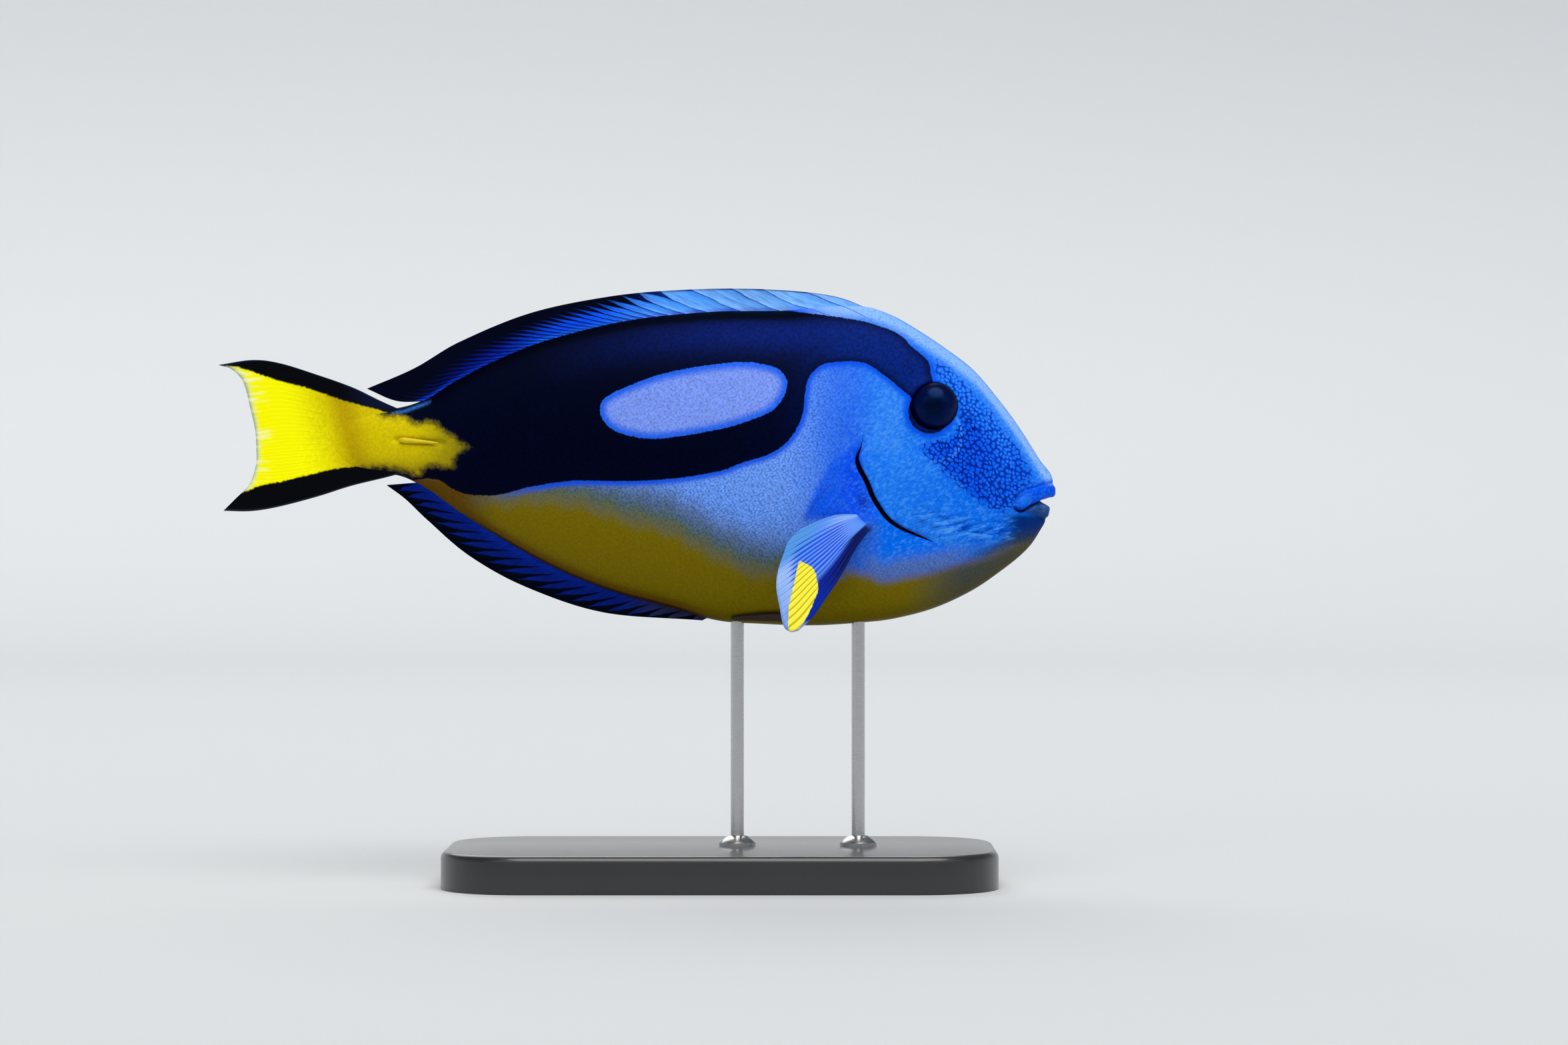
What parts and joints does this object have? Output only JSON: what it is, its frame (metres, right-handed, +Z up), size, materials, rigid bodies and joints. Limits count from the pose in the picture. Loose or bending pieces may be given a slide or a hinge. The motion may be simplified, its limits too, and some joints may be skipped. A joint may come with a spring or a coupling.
{
  "type": "regal blue tang model",
  "caption": "Still life-size model of a swimming regal blue tang, held level over a flat display base by short rods.",
  "frame": {"origin": "centre of the underside of the model's box, on the surface that the base stands on", "axes": "+X towards the snout, +Y the fish's left side, +Z up"},
  "size_m": [0.2009, 0.068, 0.1427],
  "materials": {
    "skin": "satin painted skin, bright blue with a black band pattern, an oval patch and a yellow belly and tail root",
    "fin": "satin painted membrane and rays, blue with black margins",
    "tail": "satin painted membrane and rays, yellow with black lobes",
    "spine": "smooth yellow spine",
    "eye": "wet gloss, nearly black",
    "base": "satin black display base",
    "rod": "brushed steel rod"
  },
  "bodies": {
    "root": {"head": "skin", "torso": "skin", "tail_stalk": "skin", "dorsal_fin": "fin", "anal_fin": "fin", "caudal_fin": "tail", "pectoral_fin_right": "fin", "pectoral_fin_left": "fin", "pelvic_fin_right": "fin", "pelvic_fin_left": "fin", "caudal_spine_right": "spine", "caudal_spine_left": "spine", "eye_right": "eye", "eye_left": "eye", "stand_base": "base", "stand_rod_front": "rod", "stand_rod_rear": "rod"}
  },
  "joints": []
}
